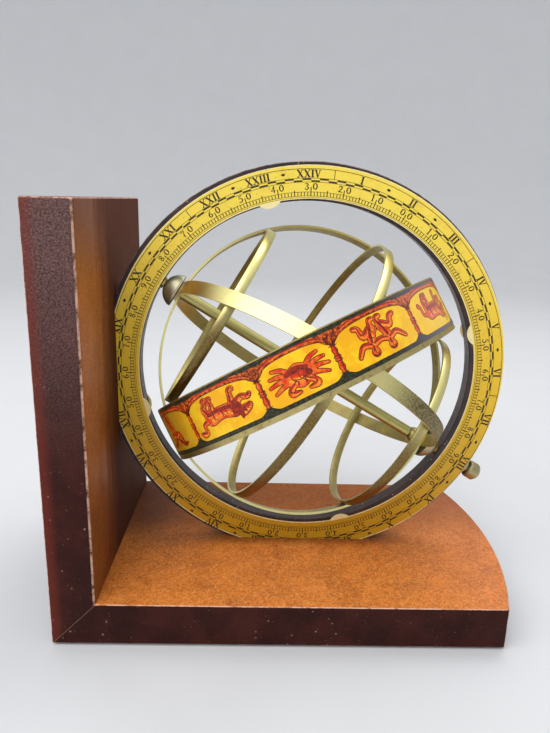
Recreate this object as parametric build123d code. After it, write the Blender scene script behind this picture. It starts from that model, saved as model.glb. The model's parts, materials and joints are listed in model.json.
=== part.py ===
from build123d import *
from math import cos, degrees, hypot, radians, sin, sqrt
import os

# Armillary sphere bookend, in millimetres.
# The origin is under the middle of the stand, +Z is up, and the printed front faces -Y.

# Boards of the stand
board = 18.0
base_length = 182.0
base_bow = 10.0
stand_depth = 112.0
stand_height = 172.4
board_edge_radius = 0.8
upright_edge_radius = 1.8
felt_thickness = 0.8
felt_inset = 2.5

# Dowels across the mitre
dowel_diameter = 6.0
dowel_cover = 1.5
dowel_slip = 0.02
dowel_count = 3
dowel_edge_distance = 20.0

# Meridian ring and its printed papers, the front one glued a little off centre
ring_width = 15.6
ring_thickness = 7.0
ring_chamfer = 0.3
ring_seat_depth = 5.6
seat_gap = 0.05
paper_thickness = 0.25
paper_inner_margin = 1.2
paper_outer_margin = 1.0
front_shift_right = 0.9
front_shift_down = 0.4
tab_count = 4
tab_radius = 6.0
tab_depth = 2.2

# Screw that holds the ring down
screw_diameter = 3.5
screw_head_diameter = 7.0
screw_head_height = 2.6
screw_hold = 8.0
screw_slip = 0.05
screw_slot_width = 1.0
screw_slot_depth = 0.9

# Polar axle
axis_elevation = 30.8
sphere_turn = 21.0
rod_diameter = 3.0
rod_slip = 0.05
bearing_gap = 0.05
sleeve_diameter = 5.0
bead_diameter = 7.2

# Hoops
colure_inner_radius = 63.2
colure_thickness = 1.0
colure_width = 6.0
solder_gap = 0.03
lap_start_latitude = 52.0
lap_length = 12.0
lap_side_step = 0.3
circle_thickness = 0.9
circle_width = 3.8
circle_height = 44.2

# Zodiac band and its printed paper
zodiac_tilt = 34.0
zodiac_turn = 5.0
zodiac_thickness = 0.6
zodiac_width = 23.0
print_thickness = 0.15
print_width = 20.4
print_top_margin = 0.5
print_gap = 0.01

# Fittings at the poles
dome_diameter = 14.6
dome_height = 6.4
dome_rim = 0.9
collar_diameter = 5.0
collar_length = 0.6
end_float = 0.25
bush_diameter = 5.0
bush_flange_diameter = 6.0
bush_flange_thickness = 0.8
bush_recess = 0.5
bush_press_gap = 0.01
rod_recess = 2.0
outer_gap = 0.4
knob_diameter = 8.2
knob_length = 8.7
knob_neck_diameter = 5.2
knob_neck_length = 1.3
knob_shoulder_height = 2.0
knob_end_height = 2.4
knob_bore_depth = 5.4

# Radii of the nested hoops, from the inside out
rod_radius = rod_diameter / 2
rod_bore = rod_radius + rod_slip
colure_outer = colure_inner_radius + colure_thickness
second_colure_inner = hypot(colure_outer, colure_width / 2) + solder_gap
second_colure_outer = second_colure_inner + colure_thickness
zodiac_inner = hypot(second_colure_outer, colure_width / 2) + solder_gap
print_inner = zodiac_inner + zodiac_thickness + print_gap

# Heights along the axle, from the sphere's centre out to the knob
bead_radius = bead_diameter / 2
bead_rim = sqrt(bead_radius**2 - rod_bore**2)
bead_height = sqrt(colure_inner_radius**2 - rod_bore**2) - solder_gap - bead_rim
sleeve_north = sqrt(colure_inner_radius**2 - (sleeve_diameter / 2) ** 2) - solder_gap
dome_top = second_colure_outer + dome_height
collar_top = dome_top + collar_length
bush_face = collar_top + end_float
bush_seat = bush_face + bush_flange_thickness
ring_inner = hypot(bush_face, bush_flange_diameter / 2)
ring_outer = ring_inner + ring_width
paper_inner = ring_inner + paper_inner_margin
paper_width = ring_width - paper_inner_margin - paper_outer_margin
outer_start = ring_outer + outer_gap

# Places in the stand
left = -(base_length + base_bow) / 2
right = left + base_length
inner_face = left + board
base_top = felt_thickness + board
centre_x = inner_face + ring_outer - ring_seat_depth
centre_z = base_top + ring_outer - ring_seat_depth
screw_top = board - ring_seat_depth + screw_hold

# Frames: the ring lies square to Y, and the sphere's own Z runs to its north pole
elevation = radians(axis_elevation)
north_pole = Vector(-cos(elevation), 0, sin(elevation))
ring_up = Vector(sin(elevation), 0, cos(elevation))
centre = Vector(centre_x, 0, centre_z)
ring_frame = Plane(origin=centre, x_dir=(1, 0, 0), z_dir=(0, -1, 0)).location
polar_frame = Plane(origin=centre, x_dir=ring_up, z_dir=north_pole).location
sphere_frame = polar_frame * Rot(0, 0, sphere_turn)
zodiac_frame = sphere_frame * Rot(0, 0, zodiac_turn) * Rot(0, zodiac_tilt, 0)
mitre_plane = Plane(origin=(inner_face, 0, base_top), x_dir=(0, 1, 0), z_dir=(1, 0, -1))
southward = Rot(180, 0, 0)


def tube(outer, inner, bottom, top):
    # A hollow cylinder about Z between two heights.
    height = top - bottom
    body = Cylinder(outer, height) - Cylinder(inner, height)
    return Pos(0, 0, (bottom + top) / 2) * body


def hoop(inner, thickness, width, middle=0):
    # A strip bent to a circle about Z.
    return tube(inner + thickness, inner, middle - width / 2, middle + width / 2)


def turned(outline):
    # A turned piece: a closed half outline, with the radius along X and the height along Y.
    return revolve(Plane.XZ * make_face(outline), Axis.Z)


def crown(radius, rim, height):
    # The round top of a turned piece, level at the axis.
    return TangentArc((0, height), (radius, rim), tangent=(1, 0))


def base_outline():
    # Straight at the front, back and mitre, bowed at the far end.
    back = stand_depth / 2
    sides = Polyline((right, -back), (left, -back), (left, back), (right, back))
    bow = ThreePointArc((right, back), (right + base_bow, 0), (right, -back))
    return make_face(sides + bow)


def by_inner_face(edge):
    # Whether an edge lies in or just beside the upright's inner face.
    return abs(edge.center().X - inner_face) < 2 * upright_edge_radius


def make_stand_block():
    # Both boards as one L. The upright's inner arrises are rounder than the rest.
    top = felt_thickness + stand_height
    base = Pos(0, 0, felt_thickness) * extrude(base_outline(), board)
    upright = Pos(left + board / 2, 0, top - stand_height / 2) * Box(board, stand_depth, stand_height)
    block = base + upright
    inner_arrises = block.edges().filter_by(Axis.Z).filter_by(by_inner_face)
    block = fillet(inner_arrises, upright_edge_radius)
    at_top = top - board_edge_radius
    arrises = [edge for edge in block.edges() if not by_inner_face(edge) or edge.center().Z > at_top]
    return fillet(arrises, board_edge_radius)


def ring_groove():
    # The space that the ring and its papers take in the boards.
    width = ring_thickness + 2 * paper_thickness + 2 * seat_gap
    return ring_frame * Cylinder(ring_outer + seat_gap, width)


def make_dowels(slip=0):
    # Dowels square to the mitre, as long as the boards' cover allows.
    radius = dowel_diameter / 2
    length = 2 * (sqrt(2) * (board / 2 - dowel_cover) - radius)
    spread = stand_depth - 2 * dowel_edge_distance
    middle = board / 2 * sqrt(2)
    peg = Cylinder(radius + slip, length + 2 * slip)
    places = [Pos(spread * (i / (dowel_count - 1) - 0.5), -middle, 0) for i in range(dowel_count)]
    return [mitre_plane.location * place * peg for place in places]


def screw_shape(slip, point):
    # A countersunk shape standing on its head, with a point of the given length.
    head = screw_head_diameter / 2 + slip
    shank = screw_diameter / 2 + slip
    top = screw_top + slip
    side = Polyline((0, 0), (head, 0), (shank, screw_head_height), (shank, top - point), (0, top), (0, 0))
    return Pos(centre_x, 0, felt_thickness) * turned(side)


def make_screw():
    slot = Box(screw_head_diameter, screw_slot_width, 2 * screw_slot_depth)
    return screw_shape(0, screw_diameter) - Pos(centre_x, 0, felt_thickness) * slot


def make_meridian_ring():
    ring = hoop(ring_inner, ring_width, ring_thickness)
    ring = ring_frame * chamfer(ring.edges().filter_by(GeomType.CIRCLE), ring_chamfer)
    bores = Cylinder(bush_diameter / 2 + bush_press_gap, 2 * ring_outer + board)
    seats = Cylinder(bush_flange_diameter / 2 + bush_press_gap, 2 * (bush_seat + bush_press_gap))
    return ring - polar_frame * (bores + seats) - screw_shape(screw_slip, screw_slip)


def make_scale(side, right=0, down=0):
    # One printed paper, on the front (side 1) or the back (side -1) of the ring. Round tabs halfway
    # between the axle's bores stand in from its inner edge.
    middle = side * (ring_thickness + paper_thickness) / 2
    paper = hoop(paper_inner, paper_width, paper_thickness, middle)
    tab = Pos(paper_inner - tab_depth + tab_radius, 0, middle) * Cylinder(tab_radius, paper_thickness)
    for i in range(tab_count):
        paper += Rot(0, 0, -axis_elevation + 360 / tab_count * (i + 0.5)) * tab
    return ring_frame * Pos(right, -down, 0) * paper


def make_bush():
    # A flanged bearing, with its flange towards the sphere.
    bore = rod_radius + bearing_gap
    flange = tube(bush_flange_diameter / 2, bore, bush_face, bush_seat)
    barrel = tube(bush_diameter / 2, bore, bush_seat, ring_outer - bush_recess)
    return flange + barrel


def make_colure(inner):
    # A pole-to-pole hoop in the XZ plane, drilled for the rod.
    strip = Rot(90, 0, 0) * hoop(inner, colure_thickness, colure_width)
    return strip - Cylinder(rod_bore, 2 * inner + 4 * colure_thickness)


def make_lapped_colure():
    # The second colure, whose end laps inside its start at the back, near the south pole.
    lap_inner = second_colure_inner - colure_thickness
    depth = 1.5 * colure_thickness
    profile = Pos(lap_inner + depth / 2, 0, 0) * Rectangle(depth, colure_width - 2 * lap_side_step)
    lap = revolve(profile, Axis.Y, degrees(lap_length / lap_inner))
    hoop_and_lap = make_colure(second_colure_inner) + Rot(0, lap_start_latitude, 0) * lap
    return Rot(0, 0, 90) * hoop_and_lap


def make_parallel(height):
    # A narrow hoop square to the axle, which just fits inside the colures.
    far_edge = abs(height) + circle_width / 2
    outer = sqrt((colure_inner_radius - solder_gap) ** 2 - far_edge**2)
    return hoop(outer - circle_thickness, circle_thickness, circle_width, height)


def make_print():
    middle = (zodiac_width - print_width) / 2 - print_top_margin
    return hoop(print_inner, print_thickness, print_width, middle)


def make_dome():
    # A short straight rim under a round crown, drilled for the rod.
    radius = dome_diameter / 2
    foot = Polyline((0, dome_height), (0, 0), (radius, 0), (radius, dome_rim))
    dome = turned(foot + crown(radius, dome_rim, dome_height)) - Cylinder(rod_bore, 3 * dome_height)
    return Pos(0, 0, second_colure_outer) * dome


def make_bead():
    bead = Sphere(bead_radius) - Cylinder(rod_bore, bead_diameter)
    return Pos(0, 0, bead_height) * bead


def make_knob():
    # A barrel on a short neck, with a rounded end and a blind bore.
    radius = knob_diameter / 2
    neck = knob_neck_diameter / 2
    barrel = knob_neck_length + knob_shoulder_height
    end = knob_length - knob_end_height
    bore = Polyline((0, knob_length), (0, knob_bore_depth), (rod_bore, knob_bore_depth), (rod_bore, 0))
    foot = Polyline((rod_bore, 0), (neck, 0), (neck, knob_neck_length))
    shoulder = TangentArc((radius, barrel), (neck, knob_neck_length), tangent=(0, -1))
    side = Line((radius, barrel), (radius, end))
    knob = turned(bore + foot + shoulder + side + crown(radius, end, knob_length))
    return Pos(0, 0, outer_start) * knob


def make_rod():
    # From inside the north bush to the bottom of the knob's bore.
    top = ring_outer - rod_recess
    bottom = -(outer_start + knob_bore_depth - rod_slip)
    return Pos(0, 0, (top + bottom) / 2) * Cylinder(rod_radius, top - bottom)


def stand_parts():
    block = make_stand_block() - ring_groove() - screw_shape(screw_slip, screw_slip)
    for hole in make_dowels(dowel_slip):
        block -= hole
    felt = offset(base_outline(), -felt_inset)
    return {
        "base_board": split(block, bisect_by=mitre_plane, keep=Keep.TOP),
        "upright_board": split(block, bisect_by=mitre_plane, keep=Keep.BOTTOM),
        "mitre_dowels": Compound(children=make_dowels()),
        "felt_pad": extrude(felt, felt_thickness),
        "ring_screw": make_screw(),
        "meridian_ring": make_meridian_ring(),
        "front_scale": make_scale(1, front_shift_right, front_shift_down),
        "back_scale": make_scale(-1),
        "north_bush": polar_frame * make_bush(),
        "south_bush": polar_frame * southward * make_bush(),
    }


def sphere_parts():
    collar = tube(collar_diameter / 2, rod_bore, dome_top, collar_top)
    sleeve = tube(sleeve_diameter / 2, rod_bore, bead_rim - bead_height, sleeve_north)
    zodiac = hoop(zodiac_inner, zodiac_thickness, zodiac_width)
    return {
        "axle_rod": sphere_frame * make_rod(),
        "axle_sleeve": sphere_frame * sleeve,
        "pole_bead": sphere_frame * southward * make_bead(),
        "solstitial_colure": sphere_frame * make_colure(colure_inner_radius),
        "equinoctial_colure": sphere_frame * make_lapped_colure(),
        "celestial_equator": sphere_frame * make_parallel(0),
        "north_circle": sphere_frame * make_parallel(circle_height),
        "south_circle": sphere_frame * make_parallel(-circle_height),
        "zodiac_band": zodiac_frame * zodiac,
        "zodiac_print": zodiac_frame * make_print(),
        "north_dome": sphere_frame * make_dome(),
        "south_dome": sphere_frame * southward * make_dome(),
        "thrust_collars": sphere_frame * Compound(children=[collar, southward * collar]),
        "turning_knob": sphere_frame * southward * make_knob(),
    }


os.makedirs("parts", exist_ok=True)
for name, piece in {**stand_parts(), **sphere_parts()}.items():
    export_step(piece, f"parts/{name}.step")
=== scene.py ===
import json
import random
from math import ceil, cos, hypot, pi, radians, sin, sqrt

import bmesh
import bpy
from mathutils import Matrix, Vector


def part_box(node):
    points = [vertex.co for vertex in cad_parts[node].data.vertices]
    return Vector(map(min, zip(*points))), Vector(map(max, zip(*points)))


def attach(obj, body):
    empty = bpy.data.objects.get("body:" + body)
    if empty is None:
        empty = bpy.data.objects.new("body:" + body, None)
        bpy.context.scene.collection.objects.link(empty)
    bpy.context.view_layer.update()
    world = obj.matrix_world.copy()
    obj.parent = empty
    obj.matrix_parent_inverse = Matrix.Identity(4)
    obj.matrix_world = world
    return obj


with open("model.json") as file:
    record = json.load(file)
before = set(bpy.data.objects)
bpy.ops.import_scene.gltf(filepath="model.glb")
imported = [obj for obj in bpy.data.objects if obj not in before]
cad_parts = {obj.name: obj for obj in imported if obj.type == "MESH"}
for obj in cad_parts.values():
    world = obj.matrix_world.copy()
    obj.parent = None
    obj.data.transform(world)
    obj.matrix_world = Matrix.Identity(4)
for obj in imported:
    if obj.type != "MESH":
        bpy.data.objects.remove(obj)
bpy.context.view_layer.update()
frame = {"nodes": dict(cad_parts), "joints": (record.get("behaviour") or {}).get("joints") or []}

MM = 0.001

# The view of the photograph: 550 x 733, a hand-held camera a little above the middle of the ring
PHOTO_HEIGHT = 733
FOCAL_PIXELS = 623.0
EYE = Vector((-0.0147, -0.2688, 0.1741))
YAW, PITCH, ROLL = radians(1.29), radians(15.0), radians(1.51)
SENSOR = 36.0

# The sphere's axes, worked out from the joint that it spins on
SPIN = frame["joints"][0]
CENTRE = Vector(SPIN["pos_m"])
POLE = Vector(SPIN["axis"]).normalized()
RING_UP = Vector((POLE.z, 0, -POLE.x))
LOW_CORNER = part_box("upright_board")[0]
SPHERE_TURN, ZODIAC_TURN, ZODIAC_TILT = radians(21), radians(5), radians(34)
POLAR_AXES = Matrix((RING_UP, POLE.cross(RING_UP), POLE)).transposed()
SPHERE_AXES = POLAR_AXES @ Matrix.Rotation(SPHERE_TURN, 3, "Z")
ZODIAC_AXES = SPHERE_AXES @ Matrix.Rotation(ZODIAC_TURN, 3, "Z") @ Matrix.Rotation(ZODIAC_TILT, 3, "Y")

# Where the ring's print has its pole, in degrees clockwise from the top, as measured in the photograph
PRINT_POLE = 299.2

# How wide the strips of the three parallel circles are
CIRCLE_WIDTH = 3.8 * MM


def add_object(name, data):
    thing = bpy.data.objects.new(name, data)
    bpy.context.scene.collection.objects.link(thing)
    return thing


def make_camera():
    data = bpy.data.cameras.new("camera")
    data.sensor_fit = "VERTICAL"
    data.sensor_height = SENSOR
    data.lens = FOCAL_PIXELS / PHOTO_HEIGHT * SENSOR
    camera = add_object("camera", data)
    ahead = Vector((sin(YAW) * cos(PITCH), cos(YAW) * cos(PITCH), -sin(PITCH)))
    level = ahead.cross(Vector((0, 0, 1))).normalized()
    above = level.cross(ahead)
    right = cos(ROLL) * level + sin(ROLL) * above
    up = cos(ROLL) * above - sin(ROLL) * level
    camera.matrix_world = Matrix.Translation(EYE) @ Matrix((right, up, -ahead)).transposed().to_4x4()
    bpy.context.scene.camera = camera


def tone(red, green, blue):
    """A colour as the eye reads it, 0 to 255, turned to the light values that shaders use."""
    linear = []
    for part in (red, green, blue):
        share = part / 255
        linear.append(share / 12.92 if share <= 0.04045 else ((share + 0.055) / 1.055) ** 2.4)
    return (*linear, 1)


# Materials

class Value:
    """A number, colour or vector that varies over a surface. Sums of numbers add Math nodes."""

    def __init__(self, finish, socket):
        self.finish = finish
        self.socket = socket

    def maths(self, operation, *numbers):
        return self.finish.add("ShaderNodeMath", {"operation": operation}, dict(enumerate(numbers)))

    def __add__(self, other):
        return self.maths("ADD", self, other)

    def __sub__(self, other):
        return self.maths("SUBTRACT", self, other)

    def __rsub__(self, other):
        return self.maths("SUBTRACT", other, self)

    def __mul__(self, other):
        return self.maths("MULTIPLY", self, other)

    def __truediv__(self, other):
        return self.maths("DIVIDE", self, other)

    def __rtruediv__(self, other):
        return self.maths("DIVIDE", other, self)

    def __neg__(self):
        return self.maths("MULTIPLY", self, -1)

    def __abs__(self):
        return self.maths("ABSOLUTE", self)

    __radd__ = __add__
    __rmul__ = __mul__

    def most(self, other):
        return self.maths("MAXIMUM", self, other)

    def least(self, other):
        return self.maths("MINIMUM", self, other)

    def rise(self, low, high):
        """0 below low, 1 above high, and a smooth slope between them."""
        span = {0: self, 1: low, 2: high}
        return self.finish.add("ShaderNodeMapRange", {"interpolation_type": "SMOOTHSTEP"}, span)

    def fall(self, low, high):
        return 1 - self.rise(low, high)


class Finish:
    """A material, with the ways to add to it."""

    def __init__(self, name):
        self.material = bpy.data.materials.new(name)
        self.material.use_nodes = True
        self.tree = self.material.node_tree
        self.shader = self.tree.nodes["Principled BSDF"]
        self.point = self.add("ShaderNodeTexCoord", {}, {}, "Object")
        self.facing = self.add("ShaderNodeTexCoord", {}, {}, "Normal")
        self.x, self.y, self.z = self.parts(self.point)
        self.face_x, self.face_y, self.face_z = self.parts(self.facing)

    def add(self, kind, settings, sockets, output=0):
        node = self.tree.nodes.new(kind)
        for name, value in settings.items():
            setattr(node, name, value)
        for name, value in sockets.items():
            self.plug(value, node.inputs[name])
        return Value(self, node.outputs[output])

    def plug(self, value, socket):
        if isinstance(value, Value):
            self.tree.links.new(value.socket, socket)
        else:
            socket.default_value = value

    def parts(self, vector):
        return [self.add("ShaderNodeSeparateXYZ", {}, {0: vector}, number) for number in range(3)]

    def vectors(self, operation, first, second, output=0):
        sockets = {0: first, 1: second}
        return self.add("ShaderNodeVectorMath", {"operation": operation}, sockets, output)

    def arm(self, middle):
        """The way from a point to the surface."""
        return self.vectors("SUBTRACT", self.point, tuple(middle))

    def along(self, arm, direction):
        return self.vectors("DOT_PRODUCT", arm, tuple(direction), "Value")

    def length(self, arm):
        return self.vectors("LENGTH", arm, (0, 0, 0), "Value")

    def outward(self):
        """1 where the surface faces away from the sphere's centre, -1 where it faces the centre."""
        direction = self.vectors("NORMALIZE", self.arm(CENTRE), (0, 0, 0))
        return self.vectors("DOT_PRODUCT", direction, self.facing, "Value")

    def spread(self, size, turn, seed):
        """Coordinates for a texture with features of this size in millimetres, or a size for each axis."""
        sizes = size if isinstance(size, tuple) else (size, size, size)
        shift = (0.013 * seed, 0.029 * seed, 0.007 * seed)
        scale = tuple(MM * part for part in sizes)
        sockets = {"Vector": self.point, "Location": shift, "Rotation": turn, "Scale": scale}
        return self.add("ShaderNodeMapping", {"vector_type": "TEXTURE"}, sockets)

    def noise(self, size, detail=3.0, rough=0.55, turn=(0, 0, 0), seed=0.0):
        """Cloudy noise, about 0.5 on average."""
        place = self.spread(size, turn, seed)
        sockets = {"Vector": place, "Scale": 1.0, "Detail": detail, "Roughness": rough}
        return self.add("ShaderNodeTexNoise", {}, sockets)

    def specks(self, size, share, seed=0.0):
        """Small round dots of 1, on about that share of the cells."""
        sockets = {"Vector": self.spread(size, (0, 0, 0), seed), "Scale": 1.0}
        near = self.add("ShaderNodeTexVoronoi", {}, sockets, "Distance")
        cell = self.add("ShaderNodeTexVoronoi", {}, sockets, "Color")
        return near.fall(0.15, 0.36) * self.parts(cell)[0].fall(share, share + 0.02)

    def fibres(self, length, width, ways, seed=0.0):
        """Short fine fibres that lie flat in several directions."""
        found = None
        for way in range(ways):
            turn = (0, 0, pi * way / ways + 0.3)
            strand = self.noise((length, width, 4 * width), 2.0, 0.5, turn, seed + 3.1 * way)
            found = strand if found is None else found.most(strand)
        return found

    def mix(self, first, second, share):
        return self.add("ShaderNodeMix", {"data_type": "RGBA"}, {0: share, 6: first, 7: second}, 2)

    def bump(self, height, depth):
        """Dents and rises of this depth in millimetres."""
        return self.add("ShaderNodeBump", {}, {"Distance": depth * MM, "Height": height}, "Normal")

    def set(self, **sockets):
        for name, value in sockets.items():
            self.plug(value, self.shader.inputs[name.replace("_", " ")])
        return self


def stained_face(coat):
    """The mottled orange-brown of the boards' good faces, with short light fibres."""
    clouds = coat.noise(16, 4, 0.65) * 0.6 + coat.noise(4, 3, 0.6, seed=3) * 0.4
    fine = coat.noise(1.1, 3, 0.65, seed=4)
    fibres = coat.fibres(3.2, 0.36, 5, seed=2).rise(0.58, 0.70)
    colour = coat.mix(tone(150, 76, 28), tone(222, 128, 50), (clouds * 0.6 + fine * 0.5).rise(0.34, 0.72))
    return coat.mix(colour, tone(240, 168, 90), fibres * 0.6)


def stained_side(coat):
    """The dark maroon of the boards' edges, partly their stain and partly painted shade on faces turned from
    the light; smooth, with a few pale specks and hairline scratches.
    """
    cloud = coat.noise(14, 3, 0.6, seed=9) * 0.6 + coat.noise(0.8, 2, 0.6, seed=5) * 0.4
    colour = coat.mix(tone(42, 15, 11), tone(66, 27, 20), cloud.rise(0.36, 0.68))
    scratch = coat.noise((16, 0.25, 0.25), 2, 0.5, (0, 0.5, 0), seed=51).rise(0.74, 0.80)
    colour = coat.mix(colour, tone(170, 130, 120), scratch * 0.5)
    return coat.mix(colour, tone(160, 124, 118), coat.specks(0.7, 0.008, seed=2) * 0.5)


def worn_arris(coat, colour, low):
    """Pale where two faces meet, on the rounded arrises alone: partly wear, partly a painted highlight."""
    flat = abs(coat.face_x).most(abs(coat.face_y)).most(abs(coat.face_z))
    rubbed = coat.noise(3, 4, 0.7, seed=6).rise(low, 0.60)
    # Pale arrises, partly wear and partly a painted highlight.
    return coat.mix(colour, tone(228, 186, 164), flat.fall(0.80, 0.93) * rubbed * 0.85)


def varnish(coat, colour, roughness, dull=0.0):
    """Finish a board: smeared, grainy varnish with a little dust in it."""
    dust = coat.specks(1.6, 0.07, seed=14) * coat.noise(30, 2, 0.5, seed=15).rise(0.5, 0.7)
    colour = coat.mix(colour, tone(205, 185, 165), dust * 0.4)
    grain = coat.noise(0.5, 3, 0.6, seed=11)
    smears = coat.noise(14, 3, 0.6, seed=12)
    rough = smears * 0.24 + grain * 0.12 + (roughness - 0.18) + dust * 0.3 + dull
    return coat.set(Base_Color=colour, Roughness=rough, Normal=coat.bump(grain, 0.02),
                    Specular_IOR_Level=0.12)


def base_finish():
    """Mottled and pale on top and darker towards the back, with painted shadow at the back left and by the
    ring, a painted pinkish sheen at the right, dark sides that are partly stain and partly painted shade,
    and a pale mitre.
    """
    coat = Finish("stained_base")
    top = coat.face_z.rise(0.4, 0.9)
    back = coat.y.rise(-0.015, 0.045)
    face = coat.mix(stained_face(coat), tone(96, 46, 22), back * 0.65)
    away = coat.length(coat.vectors("MULTIPLY", coat.arm((CENTRE.x, 0, 0)), (1, 1, 0)))
    # Painted shadow on the top at the back left, between the upright and the ring.
    corner = coat.x.fall(-0.078, -0.030) * coat.y.rise(-0.020, 0.012)
    face = coat.mix(face, tone(50, 24, 20), corner * 0.75)
    # Painted shadow on the top where the ring stands over it.
    ring_shadow_on_base = abs(coat.y).fall(0.004, 0.012) * away.fall(0.030, 0.060)
    face = coat.mix(face, tone(78, 38, 24), ring_shadow_on_base * 0.5)
    # A painted pinkish sheen on the right of the top.
    right = coat.x.rise(0.035, 0.090) * (coat.noise(12, 3, 0.6, seed=21) * 0.7 + 0.3)
    face = coat.mix(face, tone(214, 138, 112), right * 0.3)
    # Dark sides against the lighter top: partly stain, partly painted shade.
    colour = coat.mix(stained_side(coat), face, top)
    mitre = abs(coat.x - LOW_CORNER.x - (coat.z - LOW_CORNER.z)).fall(0.0001, 0.0007)
    colour = coat.mix(colour, tone(196, 150, 128), mitre * (-coat.face_y).rise(0.4, 0.9) * 0.6)
    return varnish(coat, worn_arris(coat, colour, 0.30), 0.50)


def upright_finish():
    """Dark and dull on the inner face behind the ring, where the ring's shadow is painted, with painted
    shade low on that face and a painted sheen up the front edge.
    """
    low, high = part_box("upright_board")
    coat = Finish("stained_upright")
    inner = coat.face_x.rise(0.4, 0.9)
    front = (-coat.face_y).rise(0.4, 0.9)
    top = coat.face_z.rise(0.4, 0.9)
    height = (coat.z - low.z) / (high.z - low.z)
    streaks = coat.noise((9, 4, 70), 3, 0.6, seed=31)
    # Painted shadow of the ring on the inner face, deepening towards the back in streaks.
    ring_shadow_on_inner_face = (coat.y + streaks * 0.03).rise(low.y + 0.030, low.y + 0.062)
    face = coat.mix(stained_face(coat), tone(120, 66, 28), 0.55)
    face = coat.mix(face, tone(62, 30, 20), ring_shadow_on_inner_face * 0.85)
    face = coat.mix(face, tone(96, 52, 36), height.rise(0.80, 1.0) * 0.7)
    # Painted shade low on the inner face, next to the base.
    face = coat.mix(face, tone(60, 30, 16), height.fall(0.15, 0.6) * 0.5)
    # A painted sheen high on the front face.
    painted_sheen = coat.noise(0.7, 2, 0.7, seed=33).rise(0.15, 0.95) * height.rise(0.35, 1.0)
    side = coat.mix(stained_side(coat), tone(160, 128, 124), painted_sheen * 0.7)
    red_strip = coat.x.fall(low.x + 0.0012, low.x + 0.006)
    side = coat.mix(side, tone(116, 44, 34), red_strip * 0.55)
    # The faces other than the inner one take the dark side colour: partly stain, partly painted shade.
    colour = coat.mix(stained_side(coat), face, inner)
    colour = coat.mix(colour, side, front)
    colour = coat.mix(colour, tone(140, 66, 44), top * 0.8)
    return varnish(coat, worn_arris(coat, colour, 0.32), 0.42, dull=inner * ring_shadow_on_inner_face * 0.35)


def ring_wood_finish():
    """Dark close-grained wood, pale along its outer edges from wear and a painted highlight, with dust in
    the pores.
    """
    coat = Finish("dark_ring_wood")
    grain = coat.noise((14, 1.2, 14), 3, 0.6)
    pores = coat.noise((3, 0.3, 3), 2, 0.6, seed=3).rise(0.55, 0.8)
    colour = coat.mix(tone(34, 22, 24), tone(66, 44, 44), grain.rise(0.35, 0.7))
    colour = coat.mix(colour, tone(18, 12, 12), pores * 0.6)
    # Pale outer edges: partly wear, partly a painted highlight.
    rim_wear_and_highlight = abs(coat.y).rise(2.9 * MM, 3.4 * MM) * coat.outward().rise(0.3, 0.8)
    worn = coat.noise(5, 4, 0.7, seed=5).rise(0.35, 0.6)
    colour = coat.mix(colour, tone(176, 150, 138), rim_wear_and_highlight * worn * 0.75)
    dust = coat.specks(1.1, 0.14, seed=8) * coat.noise(9, 2, 0.6, seed=10).rise(0.45, 0.62)
    colour = coat.mix(colour, tone(190, 180, 165), dust * 0.8)
    return coat.set(Base_Color=colour, Roughness=coat.noise(4, 2, 0.5, seed=7) * 0.25 + 0.28,
                    Normal=coat.bump(pores, -0.03))


def paper_finish(paper):
    """Varnished printed paper on the ring: yellow, browner towards the foot and brightest at the top, partly
    from age and partly painted shade.
    """
    coat = Finish(paper.node + "_paper")
    radius = coat.length(coat.arm(paper.middle))
    height = (coat.z - (paper.middle.z - paper.outer)) / (2 * paper.outer)
    clouds = coat.noise(9, 4, 0.65, seed=1)
    fine = coat.noise(0.7, 3, 0.6, seed=2)
    # Browner towards the foot and brightest at the top: partly ageing, partly painted shade.
    colour = coat.mix(tone(196, 148, 30), tone(236, 196, 52), height.rise(0.05, 0.55))
    colour = coat.mix(colour, tone(250, 222, 86), height.rise(0.45, 0.95))
    colour = coat.mix(colour, tone(190, 142, 40), clouds.rise(0.52, 0.80) * 0.35)
    colour = coat.mix(colour, tone(220, 178, 62), fine.rise(0.5, 0.8) * 0.3)
    blots = coat.noise(3.2, 3, 0.7, seed=17).rise(0.68, 0.76)
    colour = coat.mix(colour, tone(214, 128, 36), blots * 0.7)
    edge = (radius - paper.inner).least(paper.outer - radius)
    frayed = (edge + coat.noise(1.1, 3, 0.6, seed=6) * 0.0006).fall(0.0004, 0.0009)
    colour = coat.mix(colour, tone(250, 236, 180), frayed * 0.85)
    dirt = coat.specks(1.3, 0.12, seed=8) * 0.5
    colour = coat.mix(colour, tone(120, 84, 34), dirt * 0.6)
    return coat.set(Base_Color=colour, Roughness=clouds * 0.2 + 0.30, Normal=coat.bump(fine + clouds, 0.02),
                    Specular_IOR_Level=0.3)


def scale_ink_finish():
    """Printing ink that has worn thin in places."""
    coat = Finish("scale_ink")
    wear = coat.noise(0.6, 3, 0.65, seed=1)
    colour = coat.mix(tone(30, 22, 12), tone(66, 48, 20), wear.rise(0.42, 0.75))
    return coat.set(Base_Color=colour, Roughness=wear * 0.25 + 0.32)


def band_ink_finish(name, dark, light, fade_sheen_tone, size):
    """Ink on the zodiac band, worn in patches of that size and paler at one end, partly faded and partly a
    painted sheen.
    """
    coat = Finish(name)
    wear = coat.noise(size, 3, 0.65, seed=1)
    colour = coat.mix(tone(*dark), tone(*light), wear.rise(0.38, 0.66))
    # Paler at one end: partly fading, partly a painted sheen.
    colour = coat.mix(colour, tone(*fade_sheen_tone), sun_fade(coat) * 0.75)
    return coat.set(Base_Color=colour, Roughness=wear * 0.2 + 0.24, Specular_IOR_Level=0.3)


def band_direction(angle):
    """The way out from the band's axis at an angle in degrees round it."""
    return ZODIAC_AXES @ Vector((cos(radians(angle)), sin(radians(angle)), 0))


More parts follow.
